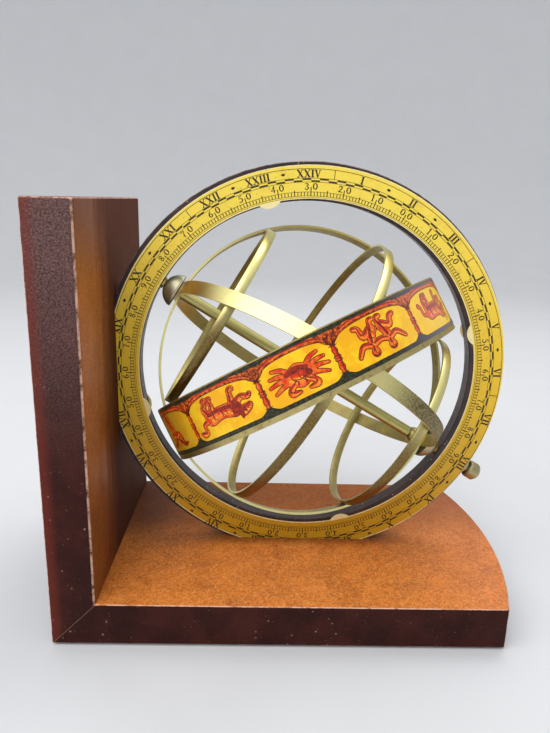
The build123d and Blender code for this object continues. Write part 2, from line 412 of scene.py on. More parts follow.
def sun_fade(coat):
    """1 at the end of the print that is faded and carries a painted sheen."""
    return coat.along(coat.arm(CENTRE), band_direction(332)).rise(0.036, 0.064)


def band_paper_finish():
    """Bright yellow paper, darker at its left end, and paler at its right, where it is faded and carries a
    painted sheen.
    """
    coat = Finish("printed_band_paper")
    clouds = coat.noise(7, 3, 0.6, seed=3)
    colour = coat.mix(tone(240, 172, 16), tone(250, 200, 28), clouds.rise(0.4, 0.65))
    left_end_darkening = coat.along(coat.arm(CENTRE), band_direction(172)).rise(0.045, 0.066)
    colour = coat.mix(colour, tone(150, 108, 34), left_end_darkening * 0.75)
    # Paler at the right end: partly fading, partly a painted sheen.
    colour = coat.mix(colour, tone(250, 214, 96), sun_fade(coat) * 0.8)
    grain = coat.noise(0.5, 2, 0.5, seed=5)
    return coat.set(Base_Color=colour, Roughness=grain * 0.2 + 0.22, Specular_IOR_Level=0.3,
                    Normal=coat.bump(grain, 0.01))


def metal_finish(name, bright, dull, inside, roughness, tarnish, size):
    """Old lacquered metal: brighter outside, smoother and browner inside, with pores and dull clouds of that
    size. The finish comes with its colour, roughness and dents, so that more can be laid over them."""
    coat = Finish(name)
    clouds = coat.noise(size, 4, 0.7, seed=2)
    fine = coat.noise(0.45, 3, 0.6, seed=4)
    pores = coat.specks(0.5, 0.24, seed=6) * clouds.rise(0.40, 0.62)
    hidden = (-coat.outward()).rise(0.2, 0.8)
    stain = (clouds * 0.65 + fine * 0.35).rise(0.64 - 0.3 * tarnish, 0.86 - 0.2 * tarnish)
    colour = coat.mix(tone(*bright), tone(*dull), stain * 0.7)
    colour = coat.mix(colour, tone(*inside), hidden * (clouds * 0.5 + 0.5))
    colour = coat.mix(colour, tone(74, 58, 32), pores * (1 - hidden * 0.6) * 0.6)
    rough = stain * 0.15 + fine * 0.12 + hidden * 0.12 + roughness
    return coat, colour, rough, coat.bump(fine, 0.012)


# Each metal's bright, dull and inner tones, its roughness, its tarnish and the size of its clouds
HOOP_BRASS = ((238, 228, 156), (200, 184, 116), (140, 122, 70), 0.32, 0.35, 5.0)
METALS = {
    "screw_steel": ((190, 190, 188), (130, 128, 124), (90, 88, 84), 0.30, 0.5, 5.0),
    "bush_brass": ((196, 178, 108), (150, 132, 76), (96, 80, 44), 0.35, 0.6, 5.0),
    "sleeve_brass": ((196, 188, 120), (160, 150, 88), (120, 108, 60), 0.34, 0.4, 5.0),
    "dome_pewter": ((188, 182, 154), (146, 138, 108), (90, 82, 60), 0.42, 0.4, 5.0),
    "bead_brass": ((196, 182, 118), (150, 132, 74), (100, 84, 46), 0.24, 0.4, 5.0),
    "knob_brass": ((178, 168, 126), (130, 118, 84), (84, 74, 50), 0.38, 0.6, 5.0),
    "colure_brass": HOOP_BRASS,
    "band_brass": ((196, 178, 118), (124, 106, 68), (132, 112, 66), 0.34, 0.7, 2.5),
}


def plain_metal(name):
    coat, colour, rough, dents = metal_finish(name, *METALS[name])
    return coat.set(Base_Color=colour, Metallic=1.0, Roughness=rough, Normal=dents)


def broad_colure_finish():
    """Pale brass, golden by the north dome, with painted shade, speckled grey-brown, at the front of the
    south half.
    """
    coat, colour, rough, dents = metal_finish("broad_colure_brass", *HOOP_BRASS)
    north = coat.along(coat.arm(CENTRE), POLE)
    gold = north.rise(0.050, 0.060) * (coat.noise(4, 3, 0.6, seed=42) * 0.6 + 0.5)
    colour = coat.mix(colour, tone(206, 160, 72), gold.least(1.0))
    # Painted shade, speckled grey-brown, on the outer face at the front of the south half.
    grey = north.fall(-0.034, -0.010) * coat.y.fall(-0.018, -0.004) * coat.outward().rise(0.2, 0.7)
    fine = coat.noise(0.7, 3, 0.7, seed=41)
    speckled = coat.mix(tone(52, 44, 34), tone(150, 134, 92), fine.rise(0.42, 0.60))
    colour = coat.mix(colour, speckled, grey * 0.9)
    return coat.set(Base_Color=colour, Metallic=1.0, Roughness=rough + grey * 0.16, Normal=dents)


def circle_finish(node):
    """Pale brass on a narrow hoop, shaded as if it were rounded across, with painted brown shade low at the
    front.
    """
    coat, colour, rough, _ = metal_finish(node + "_brass", *HOOP_BRASS)
    low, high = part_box(node)
    arm = coat.arm((low + high) / 2)
    fine = coat.noise(0.7, 3, 0.7, seed=41)
    # Painted brown shade on the outer face, low at the front.
    painted_shade_low_front = coat.y.fall(-0.020, -0.002) * coat.along(arm, RING_UP).fall(-0.002, 0.022)
    brown = coat.mix(tone(70, 48, 22), tone(128, 94, 46), fine.rise(0.35, 0.65))
    colour = coat.mix(colour, brown, painted_shade_low_front * coat.outward().rise(0.2, 0.7) * 0.9)
    across = coat.along(arm, POLE) / (CIRCLE_WIDTH / 2)
    height = (1 - across * across).most(0.0) * 0.45 + fine * 0.012
    return coat.set(Base_Color=colour, Metallic=1.0, Roughness=rough, Normal=coat.bump(height, 1.0))


def felt_finish():
    coat = Finish("green_felt")
    fibre = coat.fibres(1.8, 0.14, 3, seed=5)
    colour = coat.mix(tone(18, 38, 28), tone(52, 84, 62), fibre.rise(0.45, 0.75))
    return coat.set(Base_Color=colour, Roughness=0.95, Normal=coat.bump(fibre, 0.2), Sheen_Weight=0.4)


def dowel_finish():
    coat = Finish("beech_dowel")
    grain = coat.noise((6, 0.6, 6), 3, 0.6)
    colour = coat.mix(tone(190, 146, 96), tone(222, 184, 136), grain.rise(0.35, 0.7))
    return coat.set(Base_Color=colour, Roughness=0.6, Normal=coat.bump(grain, 0.05))


def dress(finish, *nodes):
    """Put a finish on pieces of the part."""
    for node in nodes:
        for slot in frame["nodes"][node].material_slots:
            slot.material = finish.material


# Prints: flat shapes on a paper, each a thin closed slab that stands a hair's breadth proud of it

RING_PAPER_WIDTH = 13.4 * MM
EDGE = 0.02 * MM


class RingPaper:
    """The paper on one face of the ring, whose print may lie off its middle and is cut at its edges. Places
    are degrees clockwise from the top of the print, and millimetres out."""

    def __init__(self, node, side, right=0.0, down=0.0):
        low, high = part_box(node)
        self.node = node
        self.side = side
        self.middle = (low + high) / 2
        self.middle.y = high.y if side > 0 else low.y
        self.outer = (high.x - low.x) / 2
        self.inner = self.outer - RING_PAPER_WIDTH
        self.slide = Vector((-side * right, 0, -down)) * MM

    def point(self, angle, radius, lift):
        turn = radians(angle)
        place = self.slide + Vector((-self.side * sin(turn), 0, cos(turn))) * radius * MM
        reach = min(self.outer - EDGE, max(self.inner + EDGE, place.length))
        return self.middle + place * (reach / place.length) + Vector((0, self.side * lift * MM, 0))

    def degrees(self, radius):
        """Degrees for each millimetre along the print."""
        return 180 / (pi * radius)


class BandPaper:
    """The paper round the zodiac band. Places are degrees round it, and millimetres up from its foot."""

    def __init__(self, node):
        turned = ZODIAC_AXES.transposed()
        points = [turned @ (vertex.co - CENTRE) for vertex in frame["nodes"][node].data.vertices]
        self.radius = max(hypot(point.x, point.y) for point in points) / MM
        self.foot = min(point.z for point in points) / MM
        self.height = max(point.z for point in points) / MM - self.foot

    def point(self, angle, height, lift):
        turn = radians(angle)
        out = (self.radius + lift) * Vector((cos(turn), sin(turn), 0))
        return CENTRE + ZODIAC_AXES @ (out + Vector((0, 0, self.foot + height))) * MM

    def degrees(self, height):
        """Degrees for each millimetre along the print, which are the same at every height."""
        return 180 / (pi * self.radius)


def smooth(points, steps=5):
    """More points on a curve through these ones, whose third number is a width."""
    if len(points) == 2:
        return points
    curve = []
    last = len(points) - 1
    for i in range(last):
        before, start, end, after = (points[max(0, min(last, i + k))] for k in (-1, 0, 1, 2))
        for step in range(steps):
            t = step / steps
            place = []
            for a, b, c, d in zip(before, start, end, after):
                cubic = (3 * b - a - 3 * c + d) * t**3 + (2 * a - 5 * b + 4 * c - d) * t**2 + (c - a) * t
                place.append(b + cubic / 2)
            curve.append(tuple(place))
    return curve + [points[-1]]


class Print:
    """One colour of ink on a paper, at a height in millimetres above it. Each slab lies a hair above the
    last one, so that no two share a surface."""

    SINK = 0.02
    STEP = 0.00002
    CELL = 1.4

    def __init__(self, paper, lift):
        self.paper = paper
        self.lift = lift
        self.points = []
        self.faces = []

    def lay(self, rows):
        """A slab over a grid of places, given as rows of equally many."""
        start = len(self.points)
        long, wide = len(rows), len(rows[0])
        for lift in (self.lift, -self.SINK):
            for row in rows:
                self.points += [self.paper.point(along, across, lift) for along, across in row]
        self.lift += self.STEP
        under = long * wide
        for i in range(long - 1):
            for j in range(wide - 1):
                a = start + i * wide + j
                quad = (a, a + 1, a + wide + 1, a + wide)
                self.faces += [quad, tuple(under + corner for corner in reversed(quad))]
        edge = [start + j for j in range(wide)]
        edge += [start + i * wide + wide - 1 for i in range(1, long)]
        edge += [start + (long - 1) * wide + j for j in range(wide - 2, -1, -1)]
        edge += [start + i * wide for i in range(long - 2, 0, -1)]
        for a, b in zip(edge, edge[1:] + edge[:1]):
            self.faces.append((b, a, under + a, under + b))

    def at(self, along, across, size=1.0, flip=False):
        """A small drawing's own frame: millimetres to the right and up, or turned upside down."""
        scale = -size if flip else size
        step = self.paper.degrees(across)
        return lambda x, y: (along + scale * x * step, across + scale * y)

    def stroke(self, frame_at, path, round_ends=True, steps=5):
        """A stroke of the pen along a path of (right, up, width)."""
        spine = smooth([tuple(point) for point in path], steps)
        cells = max(1, ceil(max(width for _, _, width in spine) / self.CELL))
        rows = []
        last = len(spine) - 1
        for i, (x, y, width) in enumerate(spine):
            ahead, behind = spine[min(last, i + 1)], spine[max(0, i - 1)]
            dx, dy = ahead[0] - behind[0], ahead[1] - behind[1]
            span = hypot(dx, dy) or 1.0
            dx, dy = dx / span, dy / span
            ends = []
            if round_ends and i in (0, last):
                way = -1 if i == 0 else 1
                ends = [(way * sin(radians(k)) * width / 2, cos(radians(k)) * width) for k in (30, 60, 84)]
            section = [(0, width)]
            section = ends[::-1] + section if i == 0 else section + ends
            for push, wide in section:
                middle = (x + dx * push, y + dy * push)
                rows.append([frame_at(middle[0] - dy * wide * (k / cells - 0.5),
                                      middle[1] + dx * wide * (k / cells - 0.5)) for k in range(cells + 1)])
        self.lay(rows)

    def fill(self, places, low, high):
        """Everything between two lines, given as functions of the place along the paper."""
        self.lay([[(place, low(place)), (place, high(place))] for place in places])

    def arc(self, start, end, low, high, step=2.0):
        count = max(1, ceil(abs(end - start) / step))
        places = [start + (end - start) * i / count for i in range(count + 1)]
        self.fill(places, lambda place: low, lambda place: high)

    def finish(self, name, finish, body, slot):
        mesh = bpy.data.meshes.new(name)
        mesh.from_pydata(self.points, [], self.faces)
        build = bmesh.new()
        build.from_mesh(mesh)
        bmesh.ops.remove_doubles(build, verts=build.verts, dist=1e-8)
        bmesh.ops.dissolve_degenerate(build, edges=build.edges, dist=1e-8)
        bmesh.ops.recalc_face_normals(build, faces=build.faces)
        build.to_mesh(mesh)
        build.free()
        mesh.materials.append(finish.material)
        piece = add_object(name, mesh)
        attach(piece, body)


# Numerals: strokes of (right, up, width) in a cell about 1.3 wide and 2.1 high

DIGITS = {
    "0": [
        [(0.7, 0.04, 0.22), (0.16, 0.55, 0.4), (0.16, 1.55, 0.4), (0.7, 2.06, 0.22), (1.24, 1.55, 0.4),
         (1.24, 0.55, 0.4), (0.7, 0.04, 0.22)],
    ],
    "1": [
        [(0.3, 1.65, 0.16), (0.72, 2.1, 0.36), (0.74, 0, 0.36)], [(0.35, 0.02, 0.16), (1.1, 0.02, 0.16)],
    ],
    "2": [
        [(0.15, 1.6, 0.3), (0.6, 2.08, 0.28), (1.15, 1.6, 0.4), (0.7, 0.75, 0.3), (0.1, 0.08, 0.18)],
        [(0.1, 0.08, 0.3), (0.6, 0.16, 0.34), (1.25, 0.02, 0.22)],
    ],
    "3": [
        [(0.15, 1.85, 0.22), (0.7, 2.08, 0.26), (1.1, 1.6, 0.38), (0.5, 1.12, 0.16)],
        [(0.5, 1.12, 0.16), (1.22, 0.6, 0.42), (0.7, 0, 0.26), (0.1, 0.28, 0.34)],
    ],
    "4": [
        [(0.95, 0, 0.34), (0.95, 2.1, 0.34)], [(0.95, 2.1, 0.14), (0.02, 0.62, 0.18)],
        [(0.02, 0.62, 0.22), (1.35, 0.62, 0.22)],
    ],
    "5": [
        [(1.2, 2.06, 0.26), (0.35, 2.02, 0.26)], [(0.35, 2.02, 0.16), (0.28, 1.2, 0.16)],
        [(0.28, 1.2, 0.18), (0.85, 1.3, 0.24), (1.22, 0.65, 0.42), (0.7, 0, 0.26), (0.1, 0.25, 0.32)],
    ],
    "6": [
        [(1.1, 2.05, 0.2), (0.4, 1.5, 0.34), (0.14, 0.6, 0.4), (0.66, 0, 0.24), (1.2, 0.58, 0.38),
         (0.7, 1.18, 0.18), (0.22, 0.8, 0.16)],
    ],
    "7": [
        [(0.1, 1.95, 0.3), (0.6, 2.04, 0.28), (1.25, 2.02, 0.2)],
        [(1.25, 2.02, 0.16), (0.7, 0.9, 0.34), (0.6, 0, 0.36)],
    ],
    "8": [
        [(0.66, 1.12, 0.22), (0.2, 1.6, 0.3), (0.66, 2.08, 0.22), (1.12, 1.6, 0.3), (0.66, 1.12, 0.22),
         (0.14, 0.55, 0.34), (0.66, 0, 0.22), (1.22, 0.55, 0.34), (0.66, 1.12, 0.22)],
    ],
    "9": [
        [(0.25, 0.05, 0.2), (0.95, 0.6, 0.34), (1.2, 1.5, 0.4), (0.68, 2.1, 0.24), (0.14, 1.52, 0.38),
         (0.64, 0.92, 0.18), (1.12, 1.3, 0.16)],
    ],
}


def serif(left, right, height):
    return [(left, height, 0.26), (right, height, 0.26)]


NUMERAL_HEIGHT = 3.0
NUMERAL_WIDTHS = {"I": 1.5, "V": 2.8, "X": 2.9}
NUMERAL_STROKES = {
    "I": [[(0, 0, 0.7), (0, 3, 0.7)], serif(-0.6, 0.6, 0.1), serif(-0.6, 0.6, 2.9)],
    "V": [[(-0.85, 3, 0.7), (0, 0, 0.5)], [(0, 0, 0.26), (0.85, 3, 0.28)], serif(-1.3, -0.35, 2.9),
          serif(0.4, 1.25, 2.9)],
    "X": [[(-0.9, 3, 0.7), (0.9, 0, 0.7)], [(-0.9, 0, 0.28), (0.9, 3, 0.28)], serif(-1.35, -0.4, 2.9),
          serif(0.45, 1.35, 2.9), serif(-1.35, -0.4, 0.1), serif(0.45, 1.35, 0.1)],
}


def roman(number):
    tens, ones = divmod(number, 10)
    return "X" * tens + ("", "I", "II", "III", "IV", "V", "VI", "VII", "VIII", "IX")[ones]


def write_numeral(ink, angle, foot, number):
    letters = roman(number)
    wide = sum(NUMERAL_WIDTHS[letter] for letter in letters)
    pen = -wide / 2
    for letter in letters:
        pen += NUMERAL_WIDTHS[letter] / 2
        at = ink.at(angle + pen * ink.paper.degrees(foot + NUMERAL_HEIGHT / 2), foot)
        for path in NUMERAL_STROKES[letter]:
            ink.stroke(at, path, round_ends=False)
        pen += NUMERAL_WIDTHS[letter] / 2


# The ring's print, in millimetres out from its middle and degrees round it
RING_LINES = ((86.50, 0.22), (82.86, 0.16), (81.30, 0.16), (77.40, 0.16), (75.80, 0.16), (75.20, 0.12))
DASH, DASH_WIDTH, DASH_ROWS = 2.5, 0.60, (81.52, 82.20)
LADDER_FOOT, UNIT_TOP, FIVE_TOP, TEN_TOP = 75.9, 77.5, 78.2, 79.4
LATITUDE_FOOT, LATITUDE_SIZE = 78.4, 1.2
HOUR_BAND, HOUR_FOOT, DIAMOND = 82.9, 83.25, 84.75
TROPIC = 23.5


def print_degrees(ink, equator):
    """The degree ladder, with the latitude from the equator by tens."""
    for degree in range(360):
        top = FIVE_TOP if degree % 5 == 0 else UNIT_TOP
        top = TEN_TOP if degree % 10 == 0 else top
        wide = 0.30 if degree % 5 else 0.38
        rung = [(0, 0, wide), (0, top - LADDER_FOOT, wide)]
        ink.stroke(ink.at(equator + degree, LADDER_FOOT), rung, round_ends=False)
    for ten in range(36):
        latitude = 9 - abs(9 - ten % 18)
        for digit, shift in ((str(latitude), -2.55), ("0", 0.85)):
            start = equator + 10 * ten + shift * ink.paper.degrees(TEN_TOP)
            for path in DIGITS[digit]:
                ink.stroke(ink.at(start, LATITUDE_FOOT, size=LATITUDE_SIZE), path, steps=4)


def print_hours(ink, equator):
    """Hour numerals, three to each zone, with a diamond between two of them."""
    hour = 1
    for quarter in range(4):
        middle = equator + 90 * quarter
        for start, end in ((middle - TROPIC, middle + TROPIC), (middle + TROPIC, middle + 90 - TROPIC)):
            sixth = (end - start) / 6
            ink.stroke(ink.at(start, HOUR_BAND), [(0, 0, 0.26), (0, 3.7, 0.26)], round_ends=False)
            for place in (1, 3, 5):
                write_numeral(ink, start + place * sixth, HOUR_FOOT, hour)
                hour += 1
            for place in (2, 4):
                diamond = [(-0.9, 0, 0.1), (0, 0, 1.1), (0.9, 0, 0.1)]
                ink.stroke(ink.at(start + place * sixth, DIAMOND), diamond, round_ends=False)


def print_scale(paper, body, slot):
    """The ring's print: an hour band outside, a dashed border, latitudes by tens and a degree ladder."""
    ink = Print(paper, 0.03)
    equator = PRINT_POLE + 90 if paper.side < 0 else 270 - PRINT_POLE
    for foot, wide in RING_LINES:
        ink.arc(0, 360, foot, foot + wide)
    for dash in range(round(360 / DASH)):
        start = equator + DASH * dash
        row = DASH_ROWS[dash % 2]
        ink.arc(start, start + DASH, row, row + DASH_WIDTH, DASH / 2)
    print_degrees(ink, equator)
    print_hours(ink, equator)
    ink.finish(paper.node + "_print", scale_ink_finish(), body, slot)


# Signs of the zodiac, each a set of limbs: smooth paths of (right, up, width) in millimetres

def mirrored(*limbs):
    return [*limbs, *([(-x, y, width) for x, y, width in limb] for limb in limbs)]


def turned_over(*limbs):
    return [*limbs, *([(-x, -y, width) for x, y, width in limb] for limb in limbs)]


def curl(x, y):
    return [(x, y, 0.2), (x + 0.4, y - 0.4, 0.25), (x + 0.8, y, 0.2)]


SIGNS = {
    "virgin": {
        "body": [
            [(0, 3.6, 2.2), (0.1, 2.4, 1.2)],
            [(0.1, 2.2, 2.6), (0.4, 0.2, 2.8), (1.6, -2.4, 4.4), (3.2, -4.6, 5)],
            [(-0.6, 1.8, 1.3), (-3.2, 0.9, 1), (-4.6, 2.6, 0.9)],
            [(1, 1.8, 1.3), (3.4, 1.2, 1), (5, 2, 0.8)],
        ],
        "dark": [
            [(1.2, 2.6, 1), (4.8, 4.8, 2), (8.2, 4.6, 0.5)], [(-1, 2.8, 1), (-5, 5, 1.8), (-8, 4.6, 0.5)],
        ],
        "lines": [
            [(-4.6, 2.6, 0.3), (-6, 5.2, 0.5)], [(1, -0.6, 0.2), (2.2, -4.6, 0.25)],
            [(2.2, -1.6, 0.2), (4.2, -4.6, 0.2)],
        ],
    },
    "lion": {
        "body": [
            [(7.6, 1.4, 0.9), (9.8, 2.2, 0.7), (9.6, 4.6, 0.7), (11.6, 4.8, 1.3), (12.6, 4.4, 0.4)],
            [(4, -0.8, 2), (3.4, -3, 1.3), (4, -5, 1), (2.9, -5.2, 1)],
            [(-5.8, -0.4, 1.8), (-8.4, -1.6, 1.3), (-10.6, -1, 1.1), (-11.5, -1.5, 0.8)],
            [(-4.6, 1, 4.4), (0.2, 0.3, 3.5), (5.6, 0.8, 4.4)],
            [(6.2, -0.4, 2.8), (7.2, -2.6, 1.7), (6, -4, 1.2), (6.4, -5.2, 1), (5.2, -5.4, 1)],
            [(-4.6, -0.8, 2.1), (-5, -3.2, 1.3), (-5.4, -5, 1.1), (-6.6, -5.2, 1)],
        ],
        "dark": [[(-4.4, 2.6, 2.2), (-5.6, 1, 4.4), (-5.4, -0.8, 2)], [(-6.4, 4.4, 1), (-6.8, 2.4, 3.4)]],
        "face": [[(-7.4, 2.6, 2.8), (-9.4, 2.1, 2), (-10.3, 1.7, 1.3)]],
        "lines": [
            [(-8.6, 2.8, 0.35), (-8.2, 2.9, 0.35)], [(-10.6, 1.3, 0.2), (-9.4, 1.2, 0.25)],
            [(-1.6, 1.6, 0.2), (-1.2, -0.8, 0.2)], [(0.2, 1.6, 0.2), (0.6, -0.8, 0.2)],
            [(4.2, 1.8, 0.2), (3.8, -0.8, 0.25)],
        ],
    },
    "crab": {
        "body": [
            *mirrored(
                [(2.8, -1.6, 0.9), (5, -3.6, 0.8), (8, -4.4, 0.3)],
                [(3.6, -0.8, 0.9), (6.4, -2, 0.8), (9.6, -2.2, 0.3)],
                [(3.8, 0.2, 0.9), (7, -0.2, 0.8), (10.4, 0.4, 0.3)],
                [(3.4, 1.2, 0.9), (6.4, 1.8, 0.8), (9.4, 3, 0.3)],
                [(1.6, 2, 1), (4.2, 3.6, 1.2), (4.4, 5, 1.6), (1.8, 5.2, 0.4)],
            ),
            [(-3.6, 0, 4.6), (0, 0.2, 7.4), (3.6, 0, 4.6)],
        ],
        "dark": [
            *mirrored([(-1.2, 2, 0.6), (-1.4, 2.9, 0.7)]),
            [(-3.4, 0.6, 2.2), (-2.6, 0.4, 3), (-1.8, 0.8, 2)],
        ],
        "lines": [
            [(-2.6, 0.8, 0.2), (0, 1.6, 0.25), (2.6, 0.8, 0.2)],
            [(-2, -1.2, 0.2), (0, -1.8, 0.25), (2, -1.2, 0.2)],
        ],
    },
    "twins": {
        "body": [
            [(2.6, -3, 1.7), (5.4, -1.6, 1.6), (6.2, -4.4, 1.1), (7.6, -5, 0.9)],
            [(-2.4, -3, 1.7), (-5.2, -1.8, 1.6), (-6.4, -4.2, 1.1), (-7.8, -4.6, 0.9)],
            [(-3.2, 1.4, 2.3), (-2.6, -0.8, 2.3), (-1.6, -3, 2.4)],
            [(3.2, 1.4, 2.3), (2.8, -0.8, 2.3), (1.8, -3, 2.4)],
            [(-1.4, -3.4, 1.7), (-1.2, -4.6, 1.2), (-1.6, -5.6, 1), (-2.7, -5.6, 0.8)],
            [(1.6, -3.4, 1.7), (1.6, -4.6, 1.2), (1.2, -5.6, 1), (0.2, -5.6, 0.8)],
            [(-3.6, 2, 1.2), (-6.4, 1, 1.1), (-8.6, 2.6, 0.9), (-9.4, 3.4, 0.7)],
            [(3.6, 2, 1.2), (6.6, 1.2, 1.1), (8.4, 3, 0.9), (9, 3.8, 0.7)],
            [(-2.4, 1.8, 1.2), (0, 1.2, 1.1), (2.4, 1.8, 1.2)],
            *mirrored([(-3.3, 2.6, 1.2), (-3.4, 4.2, 2.4)]),
        ],
        "dark": [
            [(-4.4, 4.8, 0.5), (-3.4, 5.4, 0.8), (-2.4, 4.8, 0.5)],
            [(2.4, 4.8, 0.5), (3.4, 5.4, 0.8), (4.4, 4.8, 0.5)],
        ],
        "lines": [
            [(-3, 0.6, 0.2), (-2.5, -1.6, 0.2)], [(3, 0.6, 0.2), (2.6, -1.6, 0.2)],
            [(-0.2, -2.6, 0.2), (0.2, -1.6, 0.2)],
        ],
    },
    "bull": {
        "body": [
            [(5.8, 1.4, 0.6), (8.6, 0.8, 0.5), (9, -1.6, 0.5), (10, -2.6, 0.9)],
            [(3.8, -1, 2), (3.4, -3.2, 1.2), (4, -5, 0.9), (3.2, -5.3, 0.9)],
            [(-4, -1, 2), (-6, -2.6, 1.3), (-7.6, -1.8, 1), (-8.2, -2.8, 0.9)],
            [(-4.2, 0.6, 5), (0, 0.4, 4.4), (4.6, 0.8, 4.6)],
            [(5.6, -1, 2.4), (6.2, -3, 1.4), (5.6, -5, 1), (4.9, -5.3, 0.9)],
            [(-3.6, -1.4, 2.1), (-3.8, -3.4, 1.3), (-4, -5, 1), (-4.8, -5.3, 0.9)],
            [(-5, 2, 4), (-7.2, 2.6, 3), (-9.2, 0.8, 1.9), (-9.8, 0, 1.5)],
        ],
        "dark": [
            [(-7, 3.8, 0.8), (-8.2, 5.4, 0.6), (-7, 6.2, 0.2)],
            [(-8, 3.2, 0.8), (-10.2, 4.4, 0.6), (-10, 5.8, 0.2)], [(-6, 3.2, 0.9), (-5, 4, 0.4)],
        ],
        "lines": [
            [(-8.2, 2.4, 0.35), (-7.8, 2.5, 0.35)], [(-4.4, 2.2, 0.2), (-4.8, -0.6, 0.25)],
            [(-1, 1.8, 0.2), (-0.8, -1.2, 0.2)], [(3.4, 2.2, 0.2), (3, -0.8, 0.25)],
        ],
    },
    "ram": {
        "body": [
            [(5.4, 1.6, 1.1), (6.8, 0.4, 0.9)], [(3.6, -1.4, 1.6), (3.2, -3.4, 1), (3.6, -5.2, 0.8)],
            [(-3.2, -1.4, 1.6), (-5, -3, 1), (-6.4, -2.4, 0.8)],
            [(-3.6, 0.6, 4.2), (0.4, 0.4, 4.4), (4.2, 0.7, 4)],
            [(4.8, -1.2, 1.8), (5.4, -3.4, 1.1), (5, -5.2, 0.8)],
            [(-2.8, -1.6, 1.7), (-3, -3.6, 1.1), (-3.2, -5.2, 0.8)],
            [(-4.2, 2, 2.8), (-6.2, 2.8, 2.2), (-8, 1.6, 1.3)],
        ],
        "dark": [[(-5.6, 3.6, 1), (-4.2, 4.4, 0.9), (-3.4, 2.9, 0.8), (-4.8, 2, 0.7), (-5.4, 2.9, 0.4)]],
        "lines": [curl(x + 0.3 * (row % 2), 1.6 - 1.1 * row) for row in range(3)
                  for x in (-3.8, -2.2, -0.6, 1, 2.6)],
    },
    "fishes": {
        "body": turned_over([(-10.2, 2.4, 0.8), (-7.6, 2.9, 3), (-3.8, 2.6, 2.4), (-1.6, 2.3, 0.7)],
                            [(-1.6, 2.3, 0.6), (-0.2, 3.4, 1)], [(-1.6, 2.3, 0.6), (-0.2, 1.4, 1)]),
        "dark": turned_over([(-6.8, 4.4, 0.4), (-5.6, 4.9, 0.8), (-4.8, 4.2, 0.3)]),
        "lines": [
            [(-10, 2, 0.25), (-8.8, -0.6, 0.25), (-2, -0.8, 0.25), (2, 0.8, 0.25), (8.8, 0.6, 0.25),
             (10, -2, 0.25)], *turned_over([(-9, 3, 0.4), (-8.7, 3, 0.4)]),
            *([(side * (x - 7.6), side * 4, 0.18), (side * (x - 7.1), side * 2.9, 0.25),
               (side * (x - 7.6), side * 1.8, 0.18)] for side in (-1, 1) for x in (0, 1.4, 2.8)),
        ],
    },
    "water_jug": {
        "body": [
            [(1.4, 3.8, 2.2), (1.2, 2.4, 1.2)], [(1.2, 2.2, 2.6), (1.6, 0, 2.6), (2.6, -2, 3)],
            [(3, -2.6, 2.2), (0.2, -3.6, 1.6), (0.6, -5.4, 1.1), (-0.6, -5.6, 0.9)],
            [(3.6, -2.6, 2.2), (6, -4.4, 1.6), (8.4, -4.8, 1), (9.2, -4.2, 0.8)],
            [(0.6, 2, 1.2), (-1.8, 1.6, 1.1), (-3.4, 2.4, 0.9)],
            [(2, 1.8, 1.2), (4.4, 0.6, 1), (3, -0.8, 0.9)],
            [(-3, 3.8, 1.6), (-4.4, 3, 3), (-6.2, 2, 1.2), (-7, 1.6, 1.7)],
        ],
        "dark": [[(0.4, 4.6, 0.5), (1.5, 5.1, 0.8), (2.5, 4.4, 0.5)]],
        "lines": [
            *([(-7.2 - k, 1.2, 0.25), (-8 - 0.5 * k, -1, 0.35), (-7.4 - 0.8 * k, -2.8, 0.3),
               (-8.6 - 0.8 * k, -4.8, 0.3)] for k in (0, 1, 2)), [(-5.6, 3.4, 0.2), (-4.8, 1.8, 0.25)],
        ],
    },
    "sea_goat": {
        "body": [
            [(-3.4, -0.8, 1.7), (-5.4, -2.6, 1.1), (-7.2, -2, 0.9)],
            [(-2.8, -1.2, 1.7), (-3.6, -3.4, 1.1), (-5, -5, 0.8)],
            [(-3.6, 0.9, 3.6), (-0.4, 0.2, 3.8), (3.2, -1.2, 3.2), (6.4, -2.6, 2.2), (8.8, -1, 1.6),
             (8.2, 1.4, 1.1), (6, 1.4, 0.8)], [(6, 1.4, 0.6), (4.8, 2.8, 1.1)],
            [(6, 1.4, 0.6), (4.6, 0.6, 1.1)], [(-4.4, 2.2, 2.4), (-6, 3.2, 2), (-8.2, 2.2, 1.1)],
        ],
        "dark": [
            [(-5.6, 4, 0.7), (-4, 5.4, 0.5), (-2.2, 5.4, 0.2)],
            [(-6.2, 4, 0.6), (-5, 5.9, 0.4), (-3.4, 6.2, 0.2)], [(-8, 1.6, 0.5), (-8.2, 0.6, 0.3)],
        ],
        "lines": [
            *([(x, 1.4 - 0.45 * x, 0.18), (x + 0.5, 0.1 - 0.45 * x, 0.25), (x, -1.2 - 0.45 * x, 0.18)]
               for x in (0, 1.4, 2.8, 4.2)), [(-6.8, 3.3, 0.35), (-6.5, 3.3, 0.35)],
        ],
    },
    "archer": {
        "body": [
            [(7.4, 0.6, 0.8), (9.8, 0.2, 0.9), (10.6, -2, 0.4)],
            [(3.4, -1.2, 1.7), (2.6, -3.4, 1.1), (3.2, -5.2, 0.9)],
            [(-2.2, -1.2, 1.6), (-4.4, -2.8, 1.1), (-5.2, -1.6, 0.8)],
            [(-1.6, -0.2, 3.2), (2.2, -0.4, 3.2), (5.6, -0.2, 3.4)],
            [(6.2, -1, 2.1), (7, -3.2, 1.2), (6.2, -5.2, 0.9)],
            [(-1.4, -1.4, 1.8), (-1.8, -3.4, 1.1), (-2, -5.2, 0.9)], [(-1.8, 0.4, 2.3), (-2.2, 2.6, 2.2)],
            [(-2.2, 3.2, 1), (-2.4, 4.6, 2.1)], [(-2.8, 2.8, 1.1), (-5.4, 3, 0.9), (-7.4, 3, 0.8)],
            [(-1.6, 2.8, 1.1), (0.6, 2.2, 0.9), (-1.2, 3.2, 0.8)],
        ],
